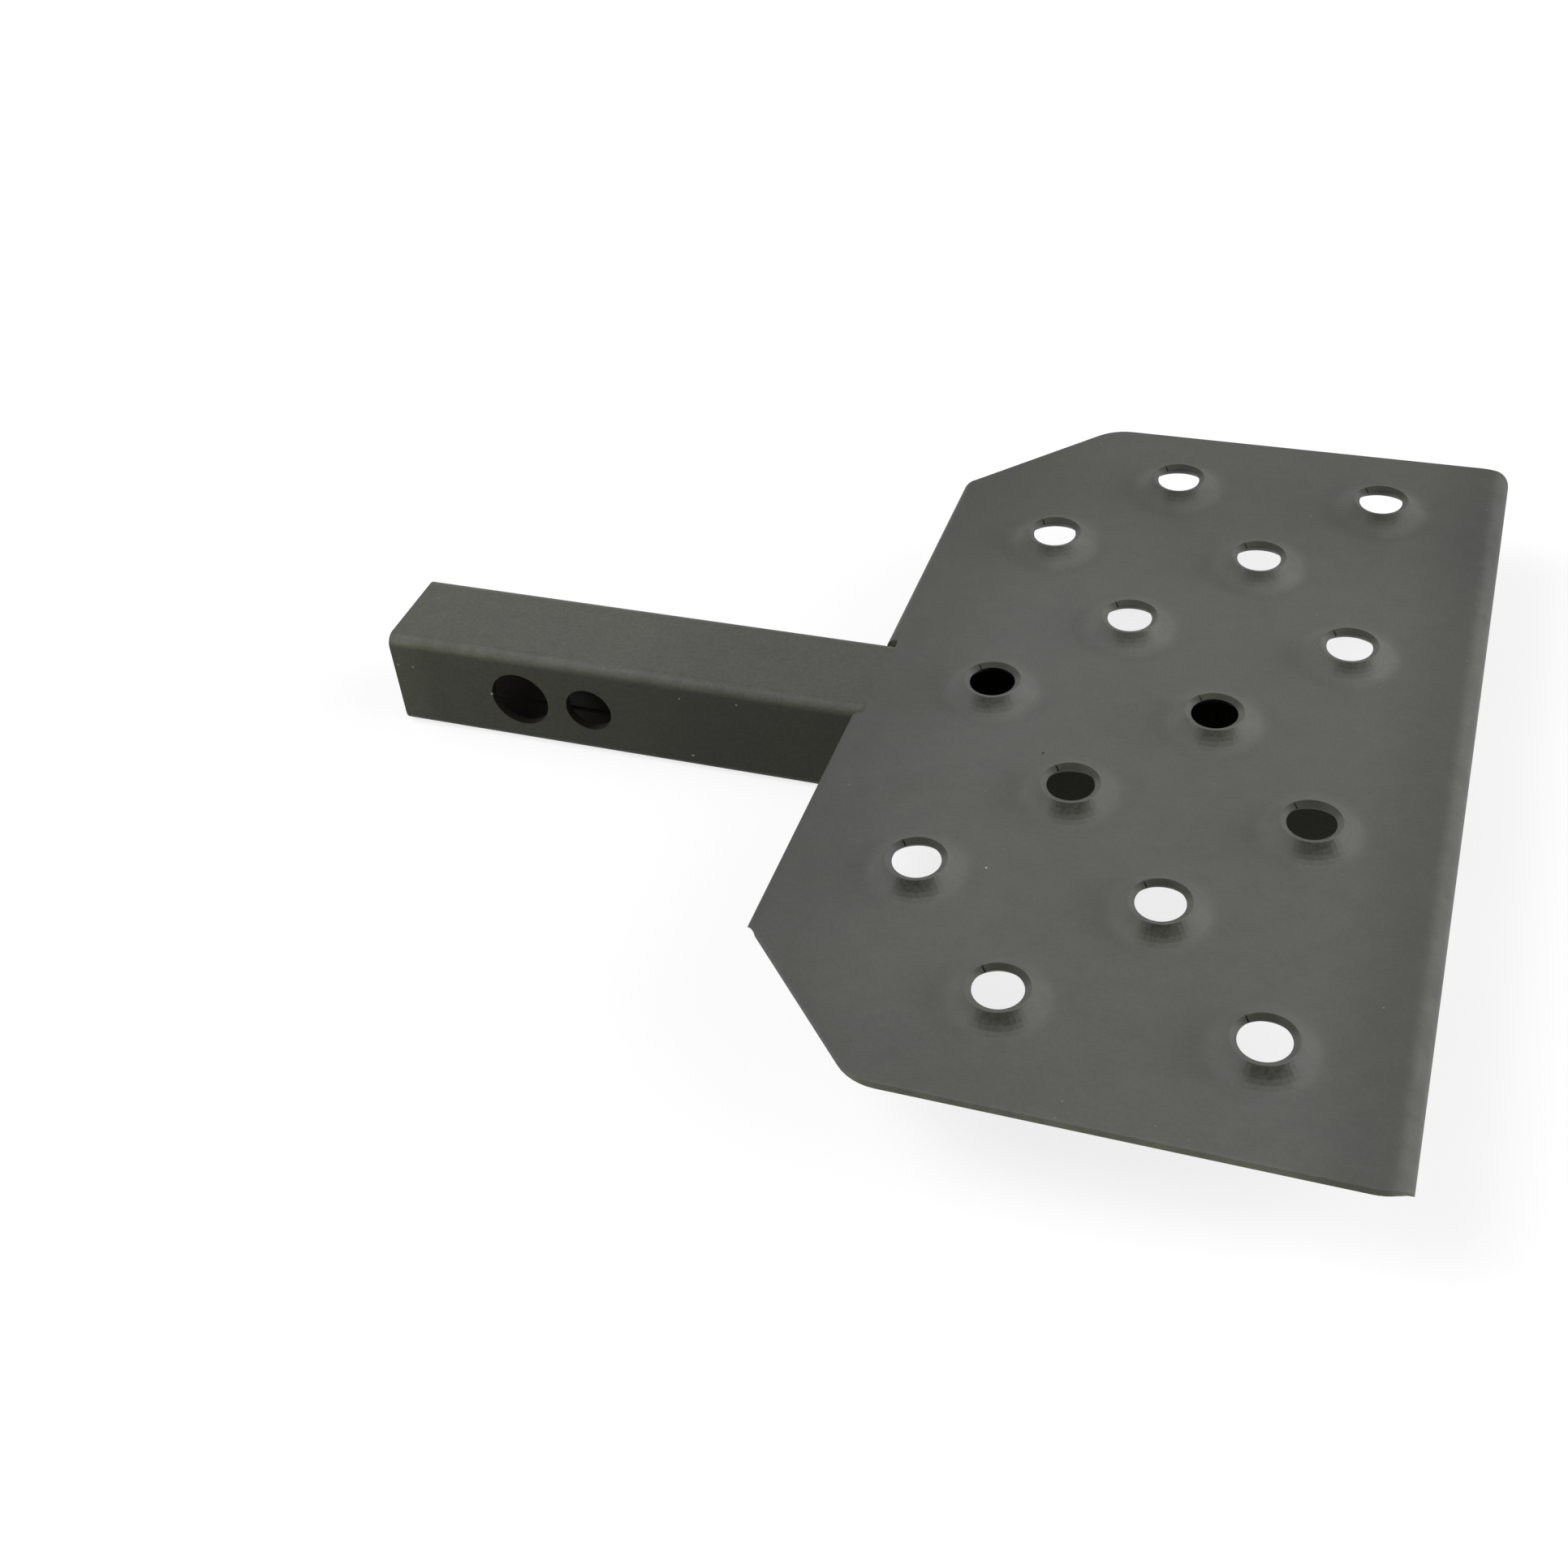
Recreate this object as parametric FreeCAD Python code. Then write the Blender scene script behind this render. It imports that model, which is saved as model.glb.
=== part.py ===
import FreeCAD, Part
import math
import os

# Hitch step plate: a pressed and folded sheet-steel tread on a square shank tube.
# Units are millimetres. The origin is the centre of the large hitch pin hole.
# +X runs along the shank towards the tread, +Y along the pin, +Z up.

V = FreeCAD.Vector

# Shank tube
tube_side = 31.75
tube_wall = 2.5
tube_corner_radius = 3.5
tube_inner_corner_radius = 1.2
pin_from_free_end = 40.8
free_length = 144.5
end_gap = 4.0

# Pin holes through both side walls
pin_hole_diameter = 18.0
small_pin_hole_diameter = 14.2
pin_hole_spacing = 22.1

# Flash bead left inside the tube by its lengthwise seam
seam_width = 2.4
seam_height = 0.6

# Tread sheet
sheet = 2.0
tread_length = 161.2
tread_width = 282.8
shank_side_bend_radius = 3.0
outer_bend_radius = 4.5
lip_depth = 9.0

# Outline of the flat blank
corner_radius = 14.0
chamfer_run = 39.2
chamfer_rise = 41.3

# Slot in the shank side lip that the tube passes through
slot_clearance = 1.0
slot_past_bend = 0.5
slot_corner_radius = 0.6

# Raised grip holes, in staggered lines across the tread
grip_lines = 4
grip_line_spacing = 30.1
grip_pitch = 73.6
grips_in_odd_line = 3
grips_in_even_line = 4
grip_hole_radius = 6.15
grip_base_radius = 16.0
grip_height = 4.8
grip_wall_angle = 57.0
grip_rim_round = 0.45

# Split that the punch leaves across one place of each pierced edge
split_width = 0.4
split_depth = 0.6
split_azimuth = 133.0

# Weld beads under the tread, whose sheet lies flush with the top of the tube
stitch_length = 34.0
stitches_each_side = 3
stitch_end_margin = 10.0
stitch_radius = 3.2
lip_bead_radius = 2.2
lip_bead_margin = 0.5

# Places worked out from the sizes above
half_side = tube_side / 2
inner_side = tube_side - 2 * tube_wall
tube_start = -pin_from_free_end
tread_start = tube_start + free_length
tread_end = tread_start + tread_length
tube_end = tread_end - sheet - end_gap
tube_length = tube_end - tube_start
top = half_side
underside = top - sheet
lip_bottom = top - lip_depth
half_width = tread_width / 2
slot_half_width = half_side + slot_clearance
slot_end = tread_start + shank_side_bend_radius + slot_past_bend

# How far a cutter reaches past what it cuts, and how far where there is less room
beyond = 5.0
just_beyond = 0.5


class Fold:
    """One down-turned edge of the tread, measured along its flat blank.

    Distances run along the blank's middle layer, from where the bend starts.
    """

    def __init__(self, side, face_x, radius):
        self.side = side
        self.radius = radius
        self.start_x = face_x - side * radius
        self.neutral = radius - sheet / 2
        self.arc = self.neutral * math.pi / 2
        self.edge = self.arc + lip_depth - radius

    def point(self, distance, depth, y):
        """Returns the folded place of a blank point, depth below the sheet's outer face."""
        radius = self.radius - depth
        if distance <= self.arc:
            angle = distance / self.neutral
            x = self.start_x + self.side * radius * math.sin(angle)
            return V(x, y, top - self.radius + radius * math.cos(angle))
        drop = distance - self.arc
        return V(self.start_x + self.side * radius, y, top - self.radius - drop)


shank_side_fold = Fold(-1, tread_start, shank_side_bend_radius)
outer_fold = Fold(1, tread_end, outer_bend_radius)


def rounded_wire(points):
    """Joins (x, y, radius) corners with straight edges, each corner rounded to its radius."""
    count = len(points)
    stretches = []
    for i in range(count):
        x, y, radius = points[i]
        corner = V(x, y, 0)
        before = V(points[i - 1][0], points[i - 1][1], 0) - corner
        after = V(points[(i + 1) % count][0], points[(i + 1) % count][1], 0) - corner
        before.normalize()
        after.normalize()
        half = before.getAngle(after) / 2
        run = radius / math.tan(half)
        bisector = before + after
        bisector.normalize()
        middle = corner + bisector * (radius / math.sin(half) - radius)
        stretches.append((corner + before * run, middle, corner + after * run, radius))
    edges = []
    for i in range(count):
        first, middle, last, radius = stretches[i]
        if radius > 0:
            edges.append(Part.Arc(first, middle, last).toShape())
        edges.append(Part.LineSegment(last, stretches[(i + 1) % count][0]).toShape())
    return Part.Wire(edges)


def along_x(wire, start, length):
    """Extrudes a flat outline, drawn as (y, z), along X."""
    face = Part.Face(wire)
    face.rotate(V(0, 0, 0), V(0, 0, 1), 90)
    face.rotate(V(0, 0, 0), V(0, 1, 0), 90)
    face.translate(V(start, 0, 0))
    return face.extrude(V(length, 0, 0))


def square_bar(side, radius, start, length):
    half = side / 2
    corners = [(-half, -half, radius), (half, -half, radius), (half, half, radius), (-half, half, radius)]
    return along_x(rounded_wire(corners), start, length)


def solid_tube():
    return square_bar(tube_side, tube_corner_radius, tube_start, tube_length)


def tube_notch():
    """Clears the tube's top wall where the tread's sheet takes its place, flush with it."""
    length = tube_end + beyond - slot_end
    low = inner_side / 2 - tube_inner_corner_radius
    over_walls = Part.makeBox(length, tube_side, sheet + beyond, V(slot_end, -half_side, underside))
    between = Part.makeBox(length, inner_side, top - low, V(slot_end, -inner_side / 2, low))
    return over_walls.fuse(between)


def shank_tube():
    """Square tube with its inner seam bead, cross-drilled for two sizes of hitch pin."""
    floor = -inner_side / 2
    bore_start = tube_start - beyond
    bore_length = tube_length + 2 * beyond
    tube = solid_tube()
    tube = tube.cut(square_bar(inner_side, tube_inner_corner_radius, bore_start, bore_length))
    crest = Part.Arc(
        V(tube_start, -seam_width / 2, floor),
        V(tube_start, 0, floor + seam_height),
        V(tube_start, seam_width / 2, floor),
    ).toShape()
    root = [
        V(tube_start, seam_width / 2, floor),
        V(tube_start, seam_width / 2, floor - tube_wall / 2),
        V(tube_start, -seam_width / 2, floor - tube_wall / 2),
        V(tube_start, -seam_width / 2, floor),
    ]
    bead = Part.Face(Part.Wire([crest] + Part.makePolygon(root).Edges))
    tube = tube.fuse(bead.extrude(V(tube_length, 0, 0)))
    for x, diameter in ((0, pin_hole_diameter), (pin_hole_spacing, small_pin_hole_diameter)):
        start = V(x, -half_side - beyond, 0)
        tube = tube.cut(Part.makeCylinder(diameter / 2, tube_side + 2 * beyond, start, V(0, 1, 0)))
    return tube.cut(tube_notch()).removeSplitter()


def folded_strip():
    """The sheet with both edges turned down, before its corners are cut."""
    a, b = shank_side_fold, outer_fold
    diagonal = math.sqrt(0.5)

    def bend(fold, depth, first, last):
        radius = fold.radius - depth
        middle = V(fold.start_x + fold.side * radius * diagonal, 0, top - fold.radius + radius * diagonal)
        return Part.Arc(first, middle, last).toShape()

    def run(first, last):
        return Part.LineSegment(first, last).toShape()

    outer = [a.point(a.edge, 0, 0), a.point(a.arc, 0, 0), a.point(0, 0, 0)]
    outer += [b.point(0, 0, 0), b.point(b.arc, 0, 0), b.point(b.edge, 0, 0)]
    inner = [b.point(b.edge, sheet, 0), b.point(b.arc, sheet, 0), b.point(0, sheet, 0)]
    inner += [a.point(0, sheet, 0), a.point(a.arc, sheet, 0), a.point(a.edge, sheet, 0)]
    edges = [
        run(outer[0], outer[1]),
        bend(a, 0, outer[1], outer[2]),
        run(outer[2], outer[3]),
        bend(b, 0, outer[3], outer[4]),
        run(outer[4], outer[5]),
        run(outer[5], inner[0]),
        run(inner[0], inner[1]),
        bend(b, sheet, inner[1], inner[2]),
        run(inner[2], inner[3]),
        bend(a, sheet, inner[3], inner[4]),
        run(inner[4], inner[5]),
        run(inner[5], outer[0]),
    ]
    section = Part.Face(Part.Wire(edges))
    section.translate(V(0, -half_width, 0))
    return section.extrude(V(0, tread_width, 0))


def bend_cutter(fold, half_at):
    """Solid that lies outside the blank's edge along one bend.

    half_at gives the blank's half width at a developed distance. The face that cuts is made
    of lines square to the sheet, so the cut edge follows the sheet around its bend.
    """
    steps = 8
    lines = []
    for depth in (-just_beyond, sheet + just_beyond):
        places = []
        for i in range(steps + 1):
            distance = fold.arc * i / steps
            places.append(fold.point(distance, depth, half_at(distance)))
        curve = Part.BSplineCurve()
        curve.interpolate(places)
        lines.append(curve.toShape())
    return Part.makeRuledSurface(lines[0], lines[1]).extrude(V(0, tread_width, 0))


def mirrored(shape):
    return shape.mirror(V(0, 0, 0), V(0, 1, 0))


def outer_half_width(distance):
    """Half width of the blank near its outer corners, which are quarter circles."""
    along = distance - (outer_fold.edge - corner_radius)
    along = min(max(along, 0), corner_radius)
    return half_width - corner_radius + math.sqrt(corner_radius ** 2 - along ** 2)


def shank_side_half_width(distance):
    """Half width of the blank along its chamfers, which run on through the bend and the lip."""
    vertex = shank_side_bend_radius - chamfer_run
    return half_width - (distance - vertex) * chamfer_rise / chamfer_run


def chamfer_cutter():
    """Plan prism outside the chamfer and its rounded corner, on the flat of the tread only."""
    start = shank_side_fold.start_x
    slope = chamfer_rise / chamfer_run
    foot = half_width - (chamfer_run - shank_side_bend_radius) * slope
    vertex_x = tread_start + chamfer_run
    reach = vertex_x + 2 * corner_radius
    outside = half_width + beyond
    corners = [(start, foot, 0), (vertex_x, half_width, corner_radius), (reach, half_width, 0)]
    corners += [(reach, outside, 0), (start, outside, 0)]
    face = Part.Face(rounded_wire(corners))
    face.translate(V(0, 0, underside - beyond))
    return face.extrude(V(0, 0, sheet + 2 * beyond))


def shank_side_lip_cutter():
    """Prism outside the slanted end of the shank side lip."""
    fold = shank_side_fold
    high = top - fold.radius
    low = lip_bottom - beyond
    outside = half_width + beyond
    corners = [
        (shank_side_half_width(fold.arc), high, 0),
        (shank_side_half_width(fold.arc + high - low), low, 0),
        (outside, low, 0),
        (outside, high, 0),
    ]
    return along_x(rounded_wire(corners), tread_start - beyond, 2 * beyond)


def outer_corner_cutters():
    """What lies outside the outer corner's quarter circle, on the flat and on the lip."""
    fold = outer_fold
    x = fold.start_x + fold.edge - corner_radius
    y = half_width - corner_radius
    z = lip_bottom + corner_radius
    width = corner_radius + beyond
    base = V(x, y, underside - beyond)
    height = sheet + 2 * beyond
    flat = Part.makeBox(fold.start_x - x, width, height, base)
    flat = flat.cut(Part.makeCylinder(corner_radius, height, base))
    low = lip_bottom - beyond
    lip = Part.makeBox(2 * beyond, width, top - fold.radius - low, V(tread_end - beyond, y, low))
    axis_start = V(tread_end - beyond, y, z)
    lip = lip.cut(Part.makeCylinder(corner_radius, 2 * beyond, axis_start, V(1, 0, 0)))
    return [flat, lip]


def blank_cutters():
    """Everything outside the blank's chamfers and corners at the +Y end of the tread."""
    cutters = [chamfer_cutter(), shank_side_lip_cutter()]
    cutters.append(bend_cutter(shank_side_fold, shank_side_half_width))
    cutters.append(bend_cutter(outer_fold, outer_half_width))
    return cutters + outer_corner_cutters()


def tube_slot():
    """Slot through the shank side lip and just past its bend."""
    near = tread_start - beyond
    w = slot_half_width
    r = slot_corner_radius
    corners = [(near, -w, 0), (slot_end, -w, r), (slot_end, w, r), (near, w, 0)]
    face = Part.Face(rounded_wire(corners))
    face.translate(V(0, 0, lip_bottom - beyond))
    return face.extrude(V(0, 0, lip_depth + 2 * beyond))


def grip_centres():
    """Centres of the raised holes, line by line from the shank side."""
    middle_x = (tread_start + tread_end) / 2
    first_x = middle_x - grip_line_spacing * (grip_lines - 1) / 2
    centres = []
    for line in range(grip_lines):
        count = grips_in_even_line if line % 2 else grips_in_odd_line
        for i in range(count):
            y = (i - (count - 1) / 2) * grip_pitch
            centres.append(V(first_x + line * grip_line_spacing, y, top))
    return centres


def grip_ring():
    """One raised hole: the sheet flares up around it and its pierced edge faces inwards."""
    angle = math.radians(grip_wall_angle)
    up = V(-math.cos(angle), 0, math.sin(angle))
    through = V(-math.sin(angle), 0, -math.cos(angle))
    crest = V(grip_hole_radius + sheet * math.sin(angle), 0, grip_height)
    climb = (grip_base_radius - crest.x) * math.tan(angle) - grip_height
    flare = climb * math.cos(angle) / (1 - math.cos(angle))
    centre = V(grip_base_radius, 0, flare)

    def on_flare(radius, turn):
        return centre + V(-radius * math.sin(turn), 0, -radius * math.cos(turn))

    def arc(first, middle, last):
        return Part.Arc(first, middle, last).toShape()

    def run(first, last):
        return Part.LineSegment(first, last).toShape()

    rim_start = crest - up * grip_rim_round
    rim_end = crest + through * grip_rim_round
    rim_middle = crest + (through - up) * grip_rim_round * (1 - math.sqrt(0.5))
    lip = crest + through * sheet
    under = flare + sheet
    edges = [
        arc(on_flare(flare, 0), on_flare(flare, angle / 2), on_flare(flare, angle)),
        run(on_flare(flare, angle), rim_start),
        arc(rim_start, rim_middle, rim_end),
        run(rim_end, lip),
        run(lip, on_flare(under, angle)),
        arc(on_flare(under, angle), on_flare(under, angle / 2), on_flare(under, 0)),
        run(on_flare(under, 0), on_flare(flare, 0)),
    ]
    ring = Part.Face(Part.Wire(edges)).revolve(V(0, 0, 0), V(0, 0, 1), 360)
    first = crest - through * just_beyond
    last = lip + through * just_beyond
    above = up * just_beyond
    bottom = up * split_depth
    corners = [first + above, last + above, last - bottom, first - bottom]
    split = Part.Face(Part.makePolygon(corners + corners[:1]))
    split.translate(V(0, -split_width / 2, 0))
    split = split.extrude(V(0, split_width, 0))
    split.rotate(V(0, 0, 0), V(0, 0, 1), split_azimuth)
    return ring.cut(split)


def step_plate():
    """The tread: one blank, folded down at two edges, slotted for the tube and pierced."""
    tread = folded_strip()
    for cutter in blank_cutters():
        tread = tread.cut(cutter)
        tread = tread.cut(mirrored(cutter))
    tread = tread.cut(tube_slot())
    ring = grip_ring()
    discs = []
    rings = []
    for centre in grip_centres():
        start = V(centre.x, centre.y, underside - beyond)
        discs.append(Part.makeCylinder(grip_base_radius, sheet + 2 * beyond, start))
        rings.append(ring.translated(centre))
    tread = tread.cut(discs)
    return tread.fuse(rings).removeSplitter()


def bead(first, last, radius):
    """Round-ended bar that a weld bead is trimmed from."""
    direction = last - first
    bar = Part.makeCylinder(radius, direction.Length, first, direction)
    ends = [Part.makeSphere(radius, first), Part.makeSphere(radius, last)]
    return bar.fuse(ends)


def deposited(bars, parent_shapes):
    """Trims weld bars to what lies against the pieces that they join."""
    solids = []
    for bar in bars:
        for parent in parent_shapes:
            bar = bar.cut(parent)
        solids.append(max(bar.Solids, key=lambda solid: solid.Volume))
    return Part.makeCompound(solids)


def side_stitches(side, tread):
    """Stitch welds in the corner between the tube's side and the tread's underside."""
    first = tread_start + shank_side_bend_radius + stitch_end_margin
    last = tube_end - stitch_end_margin
    step = (last - first - stitch_length) / (stitches_each_side - 1)
    y = side * half_side
    bars = []
    for i in range(stitches_each_side):
        start = first + i * step
        near = V(start + stitch_radius, y, underside)
        far = V(start + stitch_length - stitch_radius, y, underside)
        bars.append(bead(near, far, stitch_radius))
    return deposited(bars, [solid_tube(), tread])


def lip_beads(tread):
    """Upright beads that close the slot's two sides, on the lip's inner face."""
    x = tread_start + sheet
    low = lip_bottom + lip_bead_margin + lip_bead_radius
    high = underside - lip_bead_margin - lip_bead_radius
    bars = []
    for side in (-1, 1):
        y = side * (half_side + slot_clearance / 2)
        bars.append(bead(V(x, y, low), V(x, y, high), lip_bead_radius))
    return deposited(bars, [solid_tube(), tread])


def main():
    tread = step_plate()
    parts = {
        "step_plate": tread,
        "shank_tube": shank_tube(),
        "stitch_welds_left": side_stitches(1, tread),
        "stitch_welds_right": side_stitches(-1, tread),
        "lip_welds": lip_beads(tread),
    }
    os.makedirs("parts", exist_ok=True)
    for name, shape in parts.items():
        if not shape.isValid():
            raise ValueError(name + " is not a valid shape")
        shape.exportStep("parts/" + name + ".step")
        box = shape.BoundBox
        print(name, len(shape.Solids), "solids", round(shape.Volume), "mm3",
              [round(v, 2) for v in (box.XMin, box.YMin, box.ZMin, box.XMax, box.YMax, box.ZMax)])


main()
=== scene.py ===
import math

import bpy
from mathutils import Matrix, Vector


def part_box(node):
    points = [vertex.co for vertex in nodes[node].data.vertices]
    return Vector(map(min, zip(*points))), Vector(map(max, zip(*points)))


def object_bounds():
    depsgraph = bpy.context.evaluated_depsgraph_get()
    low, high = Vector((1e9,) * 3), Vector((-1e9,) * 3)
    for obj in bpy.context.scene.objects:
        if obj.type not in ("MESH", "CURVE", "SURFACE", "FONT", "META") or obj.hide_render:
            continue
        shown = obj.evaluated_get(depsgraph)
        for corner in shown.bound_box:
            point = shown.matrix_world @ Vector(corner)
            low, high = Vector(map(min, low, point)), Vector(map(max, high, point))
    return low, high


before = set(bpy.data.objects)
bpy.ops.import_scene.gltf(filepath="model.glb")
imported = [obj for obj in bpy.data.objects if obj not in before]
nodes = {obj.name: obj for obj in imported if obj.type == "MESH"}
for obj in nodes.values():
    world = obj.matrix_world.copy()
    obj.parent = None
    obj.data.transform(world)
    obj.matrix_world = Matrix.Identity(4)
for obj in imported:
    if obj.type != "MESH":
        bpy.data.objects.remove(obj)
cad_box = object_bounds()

MM = 0.001
tread_low, tread_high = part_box("step_plate")
tube_low, tube_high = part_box("shank_tube")

# Camera, fitted to the straight edges and the grid of holes in the photograph
CAMERA_PLACE = Vector((0.24984, -0.40964, 0.35066))
CAMERA_AIM = Vector((0.09596, -0.05021, 0.01587))
CAMERA_ROLL = -6.09
SENSOR = 36.0
LENS = 45.0

# Soft lobes of light in the dome: azimuth, elevation, sharpness and strength
KEY_LOBE = (-3, 6, 4.8, 11.4)
FILL_LOBE = (196, 46, 16.0, 8.8)
FRONT_SHADE = (300, 16, 1.2, 1.0)

# Floor: how much it bounces on the object, and how the camera sees it, as lit white plus own light
FLOOR_HALF = 8.0
FLOOR_BOUNCE = (0.2, 0.2, 0.196, 1)
FLOOR_LIT = (0.24, 0.24, 0.24, 1)
FLOOR_OWN_LIGHT = 0.8

# Coat colours, linear
WARM = (0.0945, 0.0955, 0.0855)
COOL = (0.0965, 0.097, 0.091)
TUBE_CAST = (0.993, 1.0, 0.95)
# Olive casts: for painted shade on the raised holes and the tube's sides, and for the partly painted light
# of the cut edges
OLIVE = (0.98, 1.0, 0.9, 1)
EDGE_OLIVE = (0.98, 1.0, 0.86, 1)
SIDE_OLIVE = (0.98, 1.0, 0.88, 1)
PALE_SPECK = (0.26, 0.26, 0.24, 1)
DARK_SPECK = (0.035, 0.035, 0.03, 1)
BARE_METAL = (0.45, 0.44, 0.37, 1)
DARK_NICK = (0.035, 0.033, 0.028, 1)
# Inside of the tube and its pin bores: partly its own dark brown, partly painted shade of the hollow
TUBE_INSIDE = (0.014, 0.012, 0.009, 1)
COAT_SPECULAR = 0.12
SMOOTH, ROUGH = 0.46, 0.56

# Places on the object that the coat's painted light and shade, and its other marks, follow
TOP = tube_high.z
HALF_TUBE = tube_high.y
TUBE_WALL = 2.5 * MM
CHAMFER_RUN = 39.2 * MM
CHAMFER_RISE = 41.3 * MM
PIN_HOLE = (0.0, 9.0 * MM)
SMALL_PIN_HOLE = (22.1 * MM, 7.1 * MM)
WELD_RIPPLE = 1.7 * MM

# Raised holes: staggered lines across the tread, the first and third with a hole in the middle
HOLE_LINES = 4
HOLE_LINE_SPACING = 30.1 * MM
HOLE_PITCH = 73.6 * MM
HOLE_EDGE = 7.83 * MM

# Chips in the coat: x, y, z and radius in mm, and whether they are down to bare metal
TUBE_CHIPS = [
    (-9.2, -15.9, 0.4, 0.55, True), (-34.3, -15.9, 6.0, 0.45, True), (-39.3, -15.9, 6.1, 0.4, True),
    (51.9, -15.9, 9.8, 0.35, True), (69.3, -15.9, 10.7, 0.35, True), (53.7, -15.9, -10.9, 0.5, True),
]
PLATE_CHIPS = [
    (155.3, -68.1, 15.9, 0.35, True), (148.0, -68.7, 15.9, 0.3, True),
    (157.5, -38.0, 15.9, 0.5, False), (158.5, -22.0, 15.9, 0.5, False),
]

# Sockets of a Mix node that mixes colours
MIX_FIRST, MIX_SECOND, MIX_RESULT = 6, 7, 2


def direction(azimuth, elevation):
    """Unit vector towards a place in the studio: azimuth 0 is +X and 90 is +Y, in degrees."""
    a, e = math.radians(azimuth), math.radians(elevation)
    return Vector((math.cos(a) * math.cos(e), math.sin(a) * math.cos(e), math.sin(e)))


class Graph:
    """A few short calls that add nodes to a material or world and join them."""

    def __init__(self, tree):
        self.tree = tree
        tree.nodes.clear()

    def node(self, kind, **settings):
        made = self.tree.nodes.new(kind)
        for name, value in settings.items():
            setattr(made, name, value)
        return made

    def feed(self, socket, value):
        """Joins a socket to another, or sets its value."""
        if isinstance(value, bpy.types.NodeSocket):
            self.tree.links.new(value, socket)
        elif value is not None:
            socket.default_value = value

    def calculate(self, operation, first, second=None):
        made = self.node("ShaderNodeMath", operation=operation)
        self.feed(made.inputs[0], first)
        self.feed(made.inputs[1], second)
        return made.outputs[0]

    def product(self, *values):
        total = values[0]
        for value in values[1:]:
            total = self.calculate("MULTIPLY", total, value)
        return total

    def sum(self, *values):
        total = values[0]
        for value in values[1:]:
            total = self.calculate("ADD", total, value)
        return total

    def below(self, value, limit):
        return self.calculate("LESS_THAN", value, limit)

    def most(self, *values):
        total = values[0]
        for value in values[1:]:
            total = self.calculate("MAXIMUM", total, value)
        return total

    def size(self, value):
        return self.calculate("ABSOLUTE", value)

    def vector(self, operation, first, fixed, output="Vector"):
        made = self.node("ShaderNodeVectorMath", operation=operation)
        self.feed(made.inputs[0], first)
        made.inputs[1].default_value = fixed
        return made.outputs[output]

    def apart(self, vector):
        made = self.node("ShaderNodeSeparateXYZ")
        self.feed(made.inputs[0], vector)
        return made.outputs

    def length(self, first, second):
        """Length of a flat offset."""
        offset = self.node("ShaderNodeCombineXYZ")
        self.feed(offset.inputs[0], first)
        self.feed(offset.inputs[1], second)
        return self.vector("LENGTH", offset.outputs[0], (0, 0, 0), "Value")

    def step(self, value, low, high, top=1.0, bottom=0.0):
        """Smooth step from bottom at low to top at high."""
        made = self.node("ShaderNodeMapRange", interpolation_type="SMOOTHSTEP")
        self.feed(made.inputs["Value"], value)
        made.inputs["From Min"].default_value = low
        made.inputs["From Max"].default_value = high
        made.inputs["To Min"].default_value = bottom
        made.inputs["To Max"].default_value = top
        return made.outputs["Result"]

    def noise(self, vector, scale, detail=2.0, roughness=0.5):
        made = self.node("ShaderNodeTexNoise")
        self.feed(made.inputs["Vector"], vector)
        made.inputs["Scale"].default_value = scale
        made.inputs["Detail"].default_value = detail
        made.inputs["Roughness"].default_value = roughness
        return made.outputs["Fac"]

    def dots(self, vector, spacing, radius, keep):
        """Small round specks: one in each cell of that spacing, of which a share is kept."""
        made = self.node("ShaderNodeTexVoronoi", feature="F1")
        self.feed(made.inputs["Vector"], vector)
        made.inputs["Scale"].default_value = 1 / spacing
        near = self.step(made.outputs["Distance"], radius / spacing, 0.3 * radius / spacing)
        chance = self.node("ShaderNodeSeparateColor")
        self.feed(chance.inputs["Color"], made.outputs["Color"])
        return self.product(near, self.below(chance.outputs["Red"], keep))

    def mix(self, factor, first, second, blend="MIX"):
        made = self.node("ShaderNodeMix", data_type="RGBA", blend_type=blend)
        self.feed(made.inputs["Factor"], factor)
        self.feed(made.inputs[MIX_FIRST], first)
        self.feed(made.inputs[MIX_SECOND], second)
        return made.outputs[MIX_RESULT]

    def shaded(self, colour, tone):
        """The colour made lighter or darker by a factor."""
        made = self.node("ShaderNodeHueSaturation")
        self.feed(made.inputs["Value"], tone)
        self.feed(made.inputs["Color"], colour)
        return made.outputs[0]

    def switch(self, factor, first, second):
        """The first shader where the factor is 0 and the second where it is 1."""
        made = self.node("ShaderNodeMixShader")
        for socket, value in zip(made.inputs, (factor, first, second)):
            self.feed(socket, value)
        return made.outputs[0]

    def seen_directly(self):
        """1 for what the camera sees, also by reflection or through something clear."""
        rays = self.node("ShaderNodeLightPath").outputs
        return self.most(rays["Is Camera Ray"], rays["Is Glossy Ray"], rays["Is Transmission Ray"])

    def surface(self, shader, kind="ShaderNodeOutputMaterial"):
        self.feed(self.node(kind).inputs["Surface"], shader)


def studio():
    """Soft dome: a wide key from the right, a higher fill from the left, little from the front."""
    world = bpy.data.worlds.new("studio")
    world.use_nodes = True
    bpy.context.scene.world = world
    graph = Graph(world.node_tree)
    towards = graph.node("ShaderNodeTexCoord").outputs["Generated"]

    def lobe(azimuth, elevation, sharpness, strength):
        facing = graph.vector("DOT_PRODUCT", towards, direction(azimuth, elevation), "Value")
        return graph.product(graph.calculate("POWER", graph.most(facing, 0.0), sharpness), strength)

    front = graph.calculate("SUBTRACT", 1.0, lobe(*FRONT_SHADE))
    light = graph.node("ShaderNodeBackground")
    graph.feed(light.inputs["Strength"], graph.product(graph.sum(lobe(*KEY_LOBE), lobe(*FILL_LOBE)), front))
    backdrop = graph.node("ShaderNodeBackground")
    for background in (light, backdrop):
        background.inputs["Color"].default_value = (1, 1, 1, 1)
    seen = graph.switch(graph.seen_directly(), light.outputs[0], backdrop.outputs[0])
    graph.surface(seen, "ShaderNodeOutputWorld")


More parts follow.
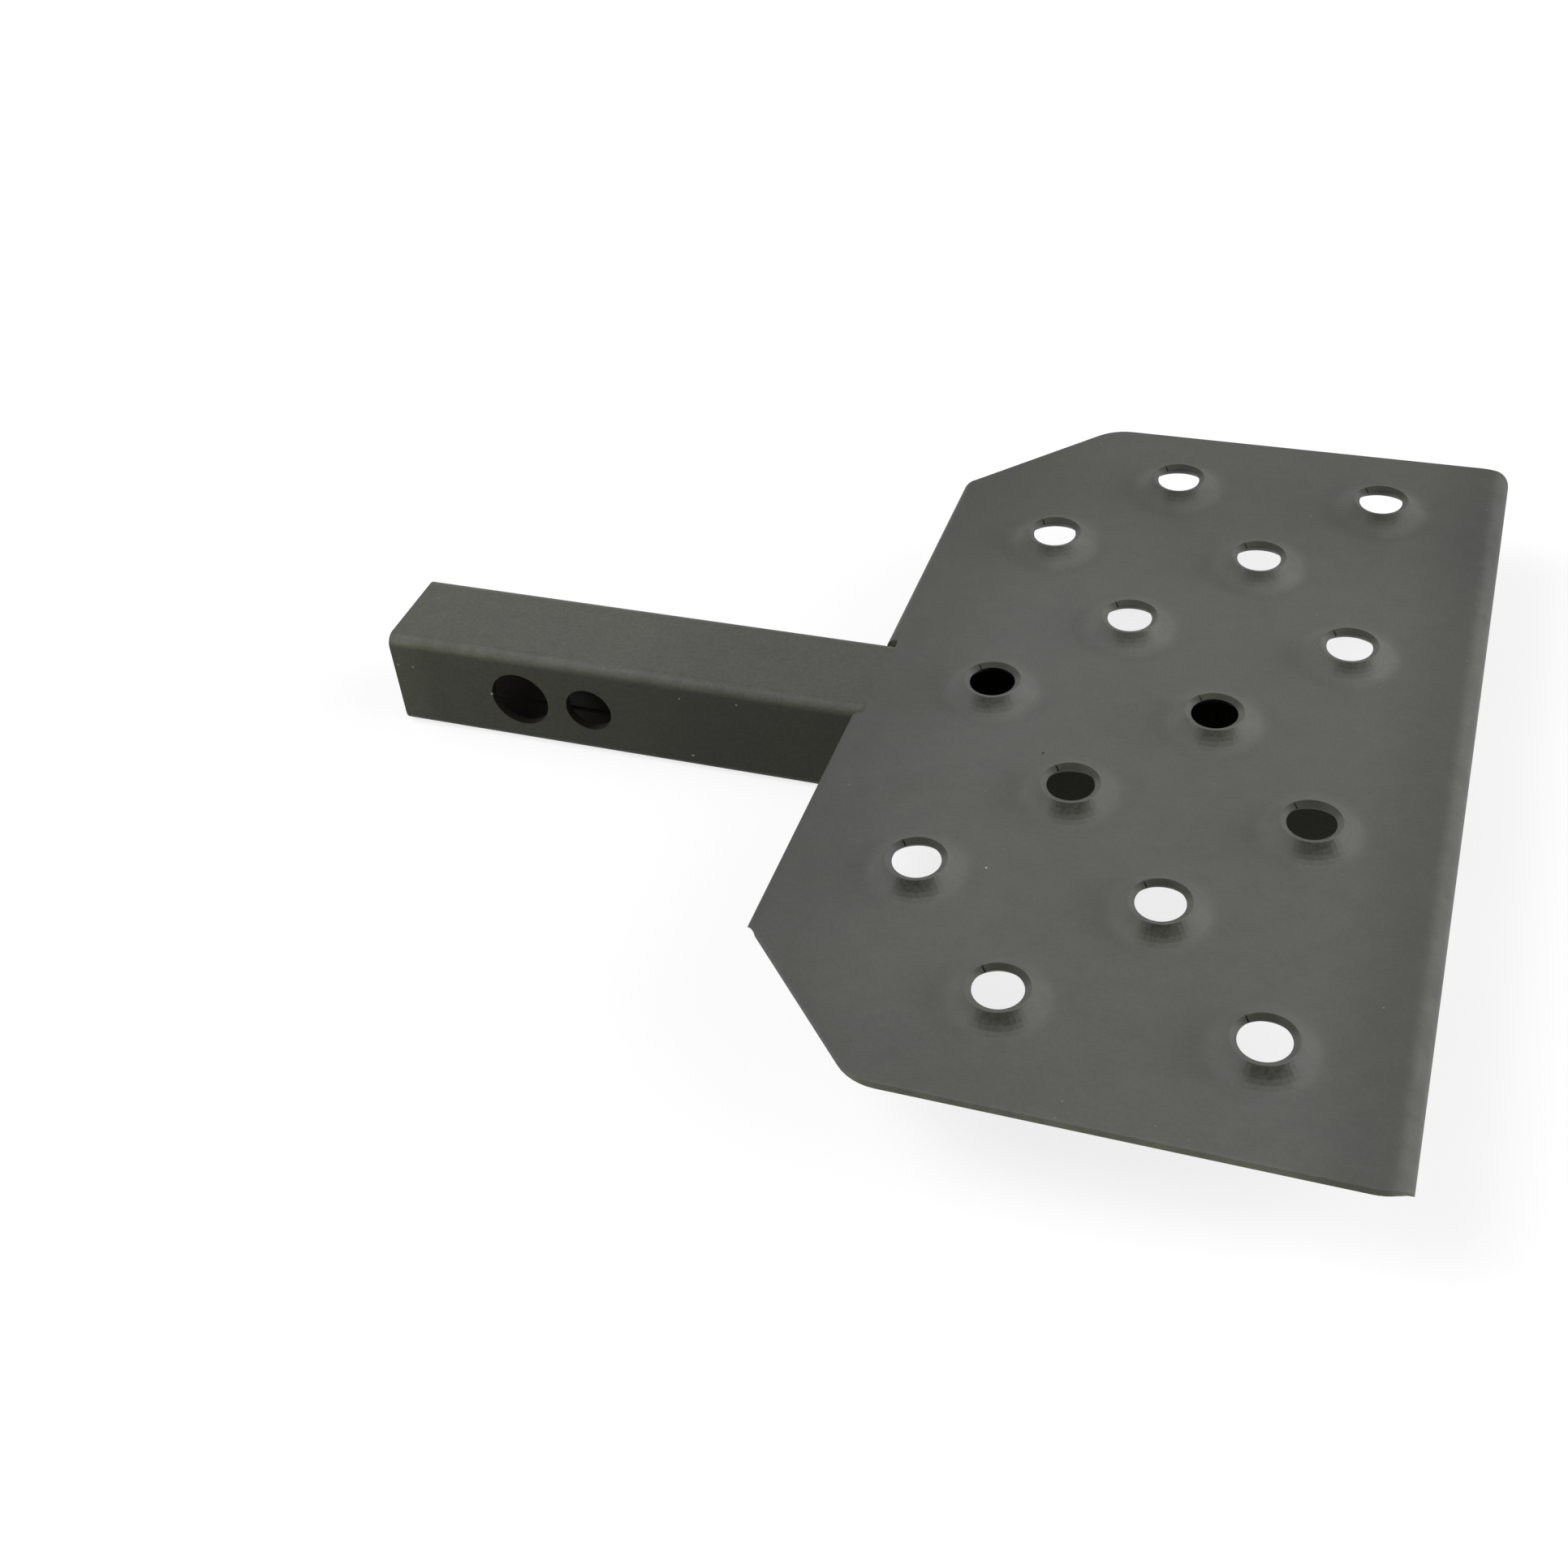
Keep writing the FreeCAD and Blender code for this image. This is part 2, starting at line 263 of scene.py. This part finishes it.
def floor():
    """Plain pale floor under the tube. It is near white with the object's shadow, and clear from below."""
    half, z = FLOOR_HALF, cad_box[0].z
    corners = [(-half, -half, z), (half, -half, z), (half, half, z), (-half, half, z)]
    mesh = bpy.data.meshes.new("studio_floor")
    mesh.from_pydata(corners, [], [(0, 1, 2, 3)])
    plane = bpy.data.objects.new("studio_floor", mesh)
    bpy.context.scene.collection.objects.link(plane)
    material = bpy.data.materials.new("studio_floor")
    material.use_nodes = True
    graph = Graph(material.node_tree)
    bounce = graph.node("ShaderNodeBsdfDiffuse")
    bounce.inputs["Color"].default_value = FLOOR_BOUNCE
    lit = graph.node("ShaderNodeBsdfDiffuse")
    lit.inputs["Color"].default_value = FLOOR_LIT
    glow = graph.node("ShaderNodeEmission")
    glow.inputs["Strength"].default_value = FLOOR_OWN_LIGHT
    pale = graph.node("ShaderNodeAddShader")
    graph.feed(pale.inputs[0], lit.outputs[0])
    graph.feed(pale.inputs[1], glow.outputs[0])
    top = graph.switch(graph.seen_directly(), bounce.outputs[0], pale.outputs[0])
    clear = graph.node("ShaderNodeBsdfTransparent").outputs[0]
    from_below = graph.node("ShaderNodeNewGeometry").outputs["Backfacing"]
    graph.surface(graph.switch(from_below, top, clear))
    mesh.materials.append(material)


def camera():
    data = bpy.data.cameras.new("camera")
    data.sensor_width = SENSOR
    data.lens = LENS
    data.clip_start = 0.01
    data.clip_end = 50.0
    eye = bpy.data.objects.new("camera", data)
    eye.location = CAMERA_PLACE
    eye.rotation_mode = "QUATERNION"
    aim = (CAMERA_AIM - CAMERA_PLACE).to_track_quat("-Z", "Y")
    roll = Matrix.Rotation(math.radians(CAMERA_ROLL), 3, "Z").to_quaternion()
    eye.rotation_quaternion = aim @ roll
    bpy.context.scene.collection.objects.link(eye)
    bpy.context.scene.camera = eye


class Coat:
    """Satin dark grey powder coat."""

    def __init__(self, name, grain=0.08, cast=(1.0, 1.0, 1.0)):
        self.material = bpy.data.materials.new(name)
        self.material.use_nodes = True
        graph = self.graph = Graph(self.material.node_tree)
        self.place = graph.node("ShaderNodeTexCoord").outputs["Object"]
        self.x, self.y, self.z = graph.apart(self.place)
        normal = graph.apart(graph.node("ShaderNodeNewGeometry").outputs["True Normal"])
        self.normal_x, self.normal_y = normal[0], normal[1]
        self.facing_y, self.facing_z = graph.size(normal[1]), graph.size(normal[2])
        self.broad = graph.noise(self.place, 22.0, 3.0)
        self.patch = graph.noise(self.place, 130.0, 3.0, 0.6)
        self.fine = graph.noise(self.place, 900.0, 3.0, 0.65)
        self.roughness = graph.step(self.broad, 0.3, 0.7, ROUGH, SMOOTH)
        self.height = graph.sum(graph.product(graph.noise(self.place, 1500.0), 0.35),
                                graph.product(graph.noise(self.place, 350.0, 1.0), 0.65))
        warm, cool = ([c * k for c, k in zip(colour, cast)] + [1] for colour in (WARM, COOL))
        self.colour = graph.mix(graph.step(self.broad, 0.35, 0.65), warm, cool)
        self.tone(graph.step(self.patch, 0.3, 0.7, 1.03, 0.97))
        self.tone(graph.step(self.fine, 0.3, 0.7, 1.0 + grain, 1.0 - grain))

    def tone(self, factor):
        self.colour = self.graph.shaded(self.colour, factor)

    def tone_where(self, mask, factor):
        self.tone(self.graph.step(mask, 0.0, 1.0, factor, 1.0))

    def tint(self, mask, colour):
        self.colour = self.graph.mix(mask, self.colour, colour, "MULTIPLY")

    def paint(self, mask, colour):
        self.colour = self.graph.mix(mask, self.colour, colour)

    def wear_and_sheen(self, mask, factor, patchiness=0.5):
        """Lightens or darkens where the mask is 1, more in some patches than in others. It paints
        highlights and sheen, in places with some thin or rubbed coat.
        """
        graph = self.graph
        share = graph.product(mask, graph.step(self.patch, 0.35, 0.6, 1.0, 1.0 - patchiness))
        self.tone(graph.sum(graph.product(share, factor - 1.0), 1.0))

    def above_top(self, low, high):
        """1 above the tread's flat face, between two heights in mm."""
        return self.graph.step(self.z, TOP + low * MM, TOP + high * MM)

    def specks(self):
        graph = self.graph
        pale = graph.dots(self.place, 7 * MM, 0.4 * MM, 0.25)
        self.paint(graph.product(pale, 0.4), PALE_SPECK)
        dark = graph.dots(self.place, 5 * MM, 0.35 * MM, 0.3)
        self.paint(graph.product(dark, 0.45), DARK_SPECK)

    def chips(self, places):
        graph = self.graph
        for x, y, z, radius, bare in places:
            away = graph.vector("DISTANCE", self.place, (x * MM, y * MM, z * MM), "Value")
            ragged = graph.sum(away, graph.product(graph.sum(self.fine, -0.5), 0.8 * radius * MM))
            mask = graph.step(ragged, radius * MM, 0.5 * radius * MM)
            self.paint(mask, BARE_METAL if bare else DARK_NICK)

    def finish(self, bump_strength=0.12):
        graph = self.graph
        bump = graph.node("ShaderNodeBump")
        bump.inputs["Strength"].default_value = bump_strength
        bump.inputs["Distance"].default_value = 0.2 * MM
        graph.feed(bump.inputs["Height"], self.height)
        shader = graph.node("ShaderNodeBsdfPrincipled")
        shader.inputs["Specular IOR Level"].default_value = COAT_SPECULAR
        graph.feed(shader.inputs["Base Color"], self.colour)
        graph.feed(shader.inputs["Roughness"], self.roughness)
        graph.feed(shader.inputs["Normal"], bump.outputs[0])
        graph.surface(shader.outputs[0])
        return self.material


def nearest_hole(coat):
    """Distance from the nearest raised hole's middle, and how far across the tread from it."""
    graph = coat.graph
    first = (tread_low.x + tread_high.x) / 2 - (HOLE_LINES - 1) / 2 * HOLE_LINE_SPACING
    lines = graph.product(graph.sum(coat.x, -first), 1 / HOLE_LINE_SPACING)
    line = graph.calculate("ROUND", lines)
    shift = graph.product(graph.calculate("FLOORED_MODULO", line, 2.0), 0.5)
    holes = graph.sum(graph.product(coat.y, 1 / HOLE_PITCH), shift)
    hole = graph.calculate("ROUND", holes)
    off_x = graph.product(graph.calculate("SUBTRACT", lines, line), HOLE_LINE_SPACING)
    off_y = graph.product(graph.calculate("SUBTRACT", holes, hole), HOLE_PITCH)
    return graph.length(off_x, off_y), off_y


def tread_borders(coat):
    """Painted shade near the borders and before the outer bend, and a painted highlight on the outer bend.
    """
    graph, x, y = coat.graph, coat.x, coat.y
    start, end = tread_low.x, tread_high.x
    wander = graph.product(graph.sum(coat.broad, -0.5), 16 * MM)
    along, across = graph.sum(x, wander), graph.sum(y, wander)
    # Painted light and shade: darker towards the shank edge, before the outer bend, on the far side and by
    # the near foot
    coat.tone(graph.step(along, start + 2 * MM, start + 46 * MM, 1.08, 0.84))
    coat.tone(graph.step(x, end - 29 * MM, end - 7 * MM, 0.8, 1.0))
    coat.tone(graph.step(across, 40 * MM, 112 * MM, 0.81, 1.0))
    near_foot_shade = graph.product(graph.step(across, -105 * MM, -138 * MM),
                              graph.step(along, start + 110 * MM, start + 40 * MM))
    coat.tone_where(near_foot_shade, 0.87)
    # Painted highlight along the outer bend
    outer_bend_highlight = graph.product(graph.step(x, end - 6 * MM, end - 2.2 * MM), coat.above_top(-6, -2.5))
    coat.wear_and_sheen(outer_bend_highlight, 1.48, 0.3)


def hole_flanks(coat):
    """Raised holes: painted light on the flanks, most on those turned to the outer edge, a lighter crescent
    on the far half, and painted shade with some dirt on the flanks facing the near side, less of it far
    off.
    """
    graph = coat.graph
    nx, ny = coat.normal_x, coat.normal_y
    flank = coat.above_top(0.02, 1.2)
    # Painted light on the flanks, more on those turned to the outer edge
    coat.wear_and_sheen(flank, 1.11, 0.2)
    outwards = graph.sum(graph.product(nx, 0.98), graph.product(ny, -0.17))
    coat.wear_and_sheen(graph.product(flank, graph.step(outwards, 0.1, 0.5)), 1.09, 0.2)
    slope = graph.calculate("SQRT", graph.sum(graph.product(nx, nx), graph.product(ny, ny)))
    raised = coat.above_top(0.02, 0.4)
    far = graph.step(coat.y, -50 * MM, 60 * MM)

    def turned_to(azimuth):
        """How far a flank faces that azimuth: 1 for straight at it."""
        towards = direction(azimuth, 0)
        facing = graph.sum(graph.product(nx, towards.x), graph.product(ny, towards.y))
        return graph.calculate("DIVIDE", facing, graph.most(slope, 0.05))

    # Painted light: a lighter crescent on flanks of the far half
    crescent = graph.product(raised, far, graph.step(turned_to(322), 0.5, 0.9), graph.step(slope, 0.1, 0.3))
    coat.wear_and_sheen(crescent, 1.15, 0.1)
    # Painted shade, with some dirt, on the steep flanks that face the near side, less of it far off, with
    # an olive cast
    steep = graph.step(graph.sum(slope, graph.product(far, -0.14)), 0.34, 0.8)
    less_far_off = graph.sum(graph.product(far, -0.3), 1.0)
    shade_and_dirt = graph.product(raised, steep, graph.step(turned_to(285), 0.72, 0.99), less_far_off)
    coat.tone(graph.sum(graph.product(shade_and_dirt, graph.step(coat.fine, 0.35, 0.65, -0.5, -0.66)), 1.0))
    coat.tint(shade_and_dirt, OLIVE)


def hole_edges(coat):
    """Pierced edges of the raised holes, a little darker all round, with painted shade on the far side."""
    graph = coat.graph
    distance, across = nearest_hole(coat)
    pierced = graph.product(graph.step(distance, HOLE_EDGE, HOLE_EDGE - 0.3 * MM), coat.above_top(2, 3))
    coat.tone_where(pierced, 0.9)
    # Painted shade with an olive cast on the far side of the pierced edges
    far_side_shade = graph.product(pierced, graph.step(across, 0.5 * MM, 6 * MM))
    coat.tone_where(far_side_shade, 0.5)
    coat.tint(far_side_shade, OLIVE)


def sheet_edges(coat):
    """Painted highlight on the sharp top edge of the chamfers and sides, and a paler cut edge of the sides,
    partly a thin coat and partly painted light.
    """
    graph = coat.graph
    size_y, half = graph.size(coat.y), tread_high.y
    chamfer = math.hypot(CHAMFER_RUN, CHAMFER_RISE)
    foot = half - CHAMFER_RISE
    from_chamfer = graph.sum(graph.product(graph.sum(coat.x, -tread_low.x), CHAMFER_RISE / chamfer),
                             graph.product(graph.sum(size_y, -foot), -CHAMFER_RUN / chamfer))
    from_side = graph.calculate("SUBTRACT", half, size_y)
    from_outline = graph.calculate("MINIMUM", from_chamfer, from_side)
    # Painted highlight on the sharp top edge of the outline
    arris = graph.product(graph.step(from_outline, 0.9 * MM, 0.2 * MM), graph.step(coat.facing_z, 0.6, 0.8))
    coat.wear_and_sheen(arris, 1.12, 0.7)
    # Paler, olive cut edge of the sides: partly a thin coat on the cut, partly painted light
    cut_edge = graph.product(graph.step(coat.facing_z, 0.35, 0.25), graph.step(coat.facing_y, 0.75, 0.95))
    coat.wear_and_sheen(cut_edge, 2.2, 0.25)
    coat.tint(cut_edge, EDGE_OLIVE)


def plate_coat():
    """Tread: lighter in the middle and on the outer bend, darker near its borders, as painted light and
    shade.
    """
    coat = Coat("plate_coat", grain=0.035)
    tread_borders(coat)
    hole_flanks(coat)
    hole_edges(coat)
    coat.specks()
    sheet_edges(coat)
    coat.chips(PLATE_CHIPS)
    return coat.finish()


def tube_coat():
    """Shank: painted shade on the run towards the tread, painted light and shade along the sides, a painted
    highlight on the corners, and a near-black brown inside that is partly painted shade.
    """
    coat = Coat("tube_coat", cast=TUBE_CAST)
    graph, x, z = coat.graph, coat.x, coat.z
    size_y, size_z = graph.size(coat.y), graph.size(z)
    on_side = graph.step(coat.facing_y, 0.6, 0.9)
    # Painted shade: darker towards the tread
    coat.tone(graph.step(x, 28 * MM, 62 * MM, 0.81, 0.92))
    # Painted light and shade on the sides: lighter towards the free end, darker towards the tread
    side_light_and_shade = graph.product(graph.step(x, -22 * MM, 30 * MM, 0.94, 1.1),
                              graph.step(x, -40 * MM, -26 * MM, 1.0, 1.3))
    coat.tone(graph.sum(graph.product(on_side, graph.sum(side_light_and_shade, -1.0)), 1.0))
    # Painted highlight along the rounded corners of the tube
    corner = graph.product(graph.step(size_y, HALF_TUBE - 3.4 * MM, HALF_TUBE - 1.4 * MM),
                           graph.step(size_z, HALF_TUBE - 3.4 * MM, HALF_TUBE - 1.6 * MM))
    coat.wear_and_sheen(corner, 1.42, 0.3)
    # Olive cast on the sides, as painted shade
    coat.tint(on_side, SIDE_OLIVE)
    coat.specks()
    # Near-black brown inside the closed part of the tube and in the pin bores: partly the inside's own dark
    # brown, partly painted shade of the hollow
    hollow = HALF_TUBE - 0.97 * TUBE_WALL
    inside = graph.product(graph.below(size_y, hollow), graph.below(size_z, hollow))
    bores = [graph.below(graph.length(graph.sum(x, -centre), z), radius + 0.05 * MM)
             for centre, radius in (PIN_HOLE, SMALL_PIN_HOLE)]
    before_tread = graph.step(x, tread_low.x + 10 * MM, tread_low.x - 10 * MM)
    coat.paint(graph.product(graph.most(inside, *bores), before_tread), TUBE_INSIDE)
    coat.chips(TUBE_CHIPS)
    return coat.finish()


def weld_coat():
    """Weld beads under the coat: ripples across the run, with painted shade in their valleys."""
    coat = Coat("weld_coat")
    graph = coat.graph
    run = graph.sum(coat.x, coat.y, graph.product(coat.patch, 0.8 * MM))
    ripple = graph.calculate("SINE", graph.product(run, 2 * math.pi / WELD_RIPPLE))
    coat.height = graph.sum(coat.height, graph.product(ripple, 1.4))
    # Painted shade in the valleys of the ripples
    coat.tone(graph.step(ripple, -1.0, 1.0, 1.0, 0.82))
    coat.specks()
    return coat.finish(bump_strength=0.6)


bpy.context.scene.view_settings.view_transform = "Standard"
studio()
floor()
camera()
weld = weld_coat()
coats = {"step_plate": plate_coat(), "shank_tube": tube_coat()}
for node, piece in nodes.items():
    for slot in piece.material_slots:
        slot.material = coats.get(node, weld)
